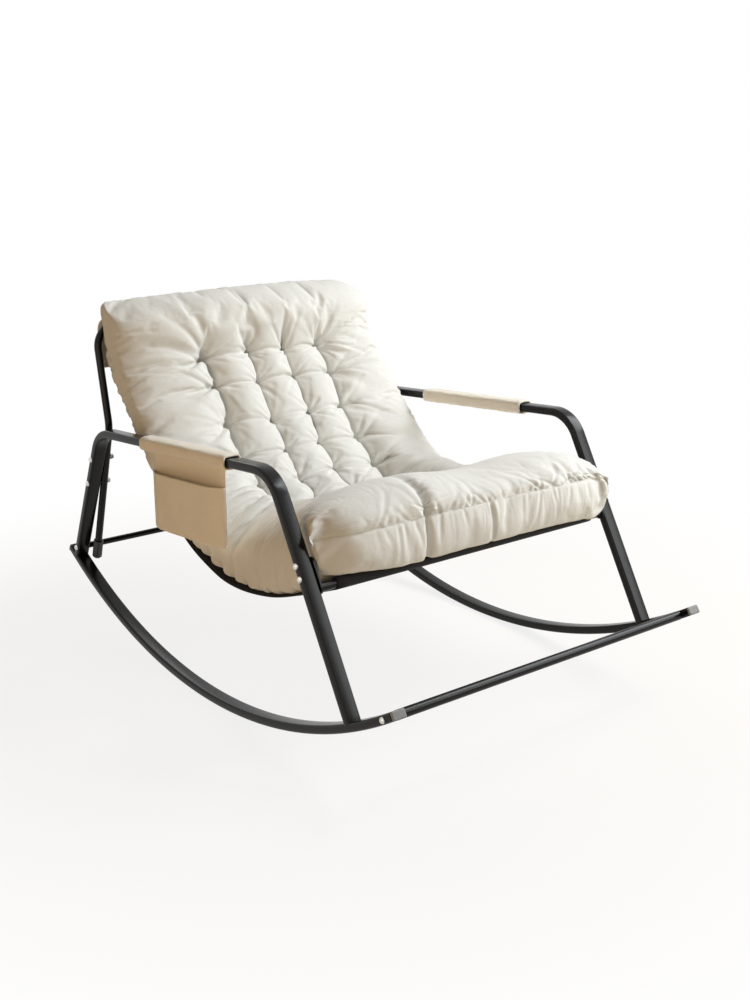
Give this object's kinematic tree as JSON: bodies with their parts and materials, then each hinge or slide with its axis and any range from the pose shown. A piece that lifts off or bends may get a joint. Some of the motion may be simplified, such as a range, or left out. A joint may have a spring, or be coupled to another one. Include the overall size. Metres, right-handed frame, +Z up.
{
  "type": "rocking chair",
  "caption": "Low rocking lounge chair: bolted flat-tube steel side frames on curved rockers, a cloth sling, one long tufted pad, padded arm sleeves and a side pocket.",
  "frame": {"origin": "on the floor, midway between the two rockers, under the point where they touch it at rest", "axes": "+Z up; the sitter faces -Y, so +Y is the rear; +X is the sitter's left"},
  "size_m": [0.6984, 1.0453, 0.6546],
  "materials": {
    "frame": "satin",
    "zinc": "satin",
    "cap": "matte",
    "plug": "matte",
    "sling": "matte",
    "pad": "matte",
    "sleeve": "matte"
  },
  "bodies": {
    "root": {"arm_pocket": "sleeve", "arm_sleeve_left": "sleeve", "arm_sleeve_right": "sleeve", "back_bow_screw_left": "zinc", "back_bow_screw_right": "zinc", "back_post_bolt_left_lower": "zinc", "back_post_bolt_left_upper": "zinc", "back_post_bolt_right_lower": "zinc", "back_post_bolt_right_upper": "zinc", "back_post_cap_left": "cap", "back_post_cap_right": "cap", "back_post_left": "frame", "back_post_nut_left_lower": "zinc", "back_post_nut_left_upper": "zinc", "back_post_nut_right_lower": "zinc", "back_post_nut_right_upper": "zinc", "back_post_right": "frame", "back_top_bow": "frame", "cushion": "pad", "cushion_hood": "pad", "front_cross_tube": "frame", "front_tube_bolt_left": "zinc", "front_tube_bolt_right": "zinc", "hoop_left": "frame", "hoop_right": "frame", "rear_cross_tube": "frame", "rear_tube_bolt_left": "zinc", "rear_tube_bolt_right": "zinc", "rocker_front_plug_left": "plug", "rocker_front_plug_right": "plug", "rocker_left": "frame", "rocker_rear_plug_left": "plug", "rocker_rear_plug_right": "plug", "rocker_right": "frame", "seat_front_tube": "frame", "seat_plate_bolt_left_lower": "zinc", "seat_plate_bolt_left_upper": "zinc", "seat_plate_bolt_right_lower": "zinc", "seat_plate_bolt_right_upper": "zinc", "seat_tube_plate_left": "frame", "seat_tube_plate_right": "frame", "sling": "sling"}
  },
  "joints": []
}
